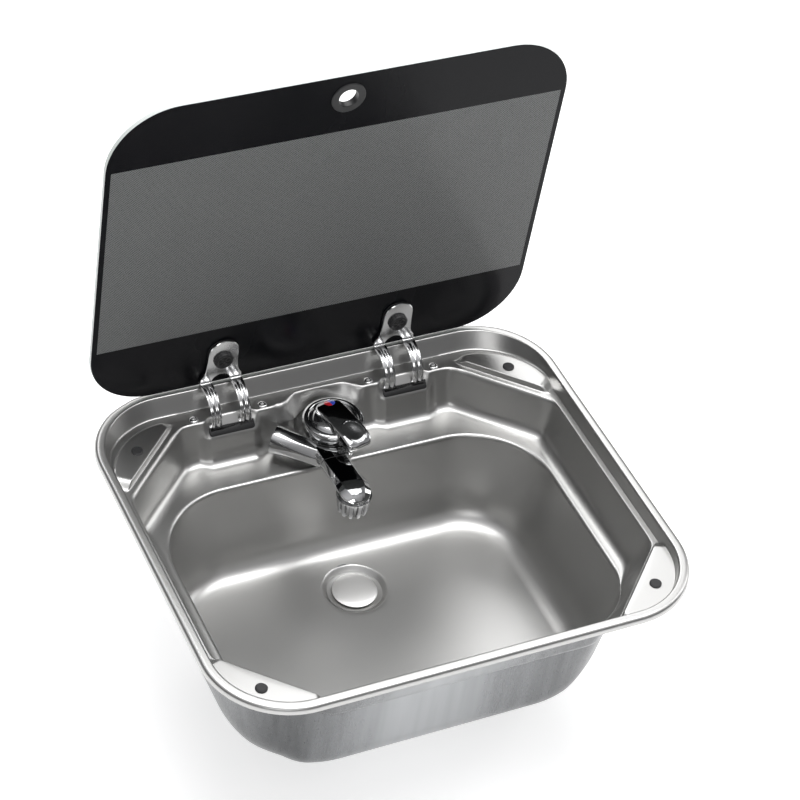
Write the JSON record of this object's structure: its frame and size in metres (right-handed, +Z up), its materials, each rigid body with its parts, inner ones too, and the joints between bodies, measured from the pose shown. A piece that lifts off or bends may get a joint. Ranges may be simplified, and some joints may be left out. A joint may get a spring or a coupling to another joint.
{
  "type": "sink",
  "caption": "Drop-in rectangular stainless sink with folding black-printed glass lid on two friction hinges and a low single-lever mixer tap.",
  "frame": {"origin": "centre of the rim outline in the worktop plane", "axes": "+X to the right seen from the front, +Y towards the lid hinges, +Z up"},
  "size_m": [0.42, 0.37, 0.5161],
  "materials": {
    "satin_steel": "satin brushed stainless sheet",
    "steel": "plain zinc-plated or stainless fittings",
    "chrome": "polished chrome plating",
    "brass": "turned brass",
    "lid_glass": "toughened clear glass, printed black underneath with a clear dotted panel",
    "black_plastic": "matt black moulding",
    "rubber": "matt black rubber",
    "index_inlay": "red and blue enamel inlay"
  },
  "bodies": {
    "sink": {"sink_bowl": "satin_steel", "rim_seal": "rubber", "corner_bumpers": "rubber", "slot_cover_left": "black_plastic", "slot_cover_right": "black_plastic", "hinge_housing_left": "steel", "hinge_housing_right": "steel", "hinge_pin_left": "steel", "hinge_pin_right": "steel", "friction_washers_left": "steel", "friction_washers_right": "steel", "hinge_rivets": "steel", "tap_body": "chrome", "tap_dome": "chrome", "spout_ring": "black_plastic", "nozzle": "chrome", "nozzle_insert": "black_plastic", "cartridge": "black_plastic", "cartridge_ring": "brass", "tap_gasket": "rubber", "tap_washer": "black_plastic", "tap_nut": "black_plastic", "inlet_tails": "brass", "waste_body": "chrome", "waste_gasket": "rubber", "waste_nut": "black_plastic", "waste_elbow": "black_plastic"},
    "lid": {"glass_lid": "lid_glass", "lid_hole_bush": "black_plastic", "hinge_arm_left": "chrome", "hinge_arm_right": "chrome", "lid_gasket_left": "rubber", "lid_gasket_right": "rubber", "lid_knob_left": "black_plastic", "lid_knob_right": "black_plastic", "lid_cap_left": "black_plastic", "lid_cap_right": "black_plastic"},
    "lever_turn": {"lever_carrier": "black_plastic", "carrier_pin": "steel"},
    "lever_lift": {"lever": "chrome", "lever_index": "index_inlay"},
    "plug": {"plug": "satin_steel", "plug_seal": "rubber"}
  },
  "joints": [
    {"name": "lid_hinge", "type": "hinge", "parent": "sink", "child": "lid", "pos_m": [0, 0.1698, -0.012], "axis": [1, 0, 0], "range_deg": [0, 84.6]},
    {"name": "lever_turn", "type": "hinge", "parent": "sink", "child": "lever_turn", "pos_m": [0.0045, 0.1245, -0.0375], "axis": [0, 0, 1], "range_deg": [-51.5, 28.5]},
    {"name": "lever_lift", "type": "hinge", "parent": "lever_turn", "child": "lever_lift", "pos_m": [0.0045, 0.1245, -0.0375], "axis": [-0.9799, -0.1994, 0], "range_deg": [0, 10]},
    {"name": "plug_lift", "type": "slide", "parent": "sink", "child": "plug", "axis": [0, 0, 1], "range_m": [0, 0.06]}
  ]
}
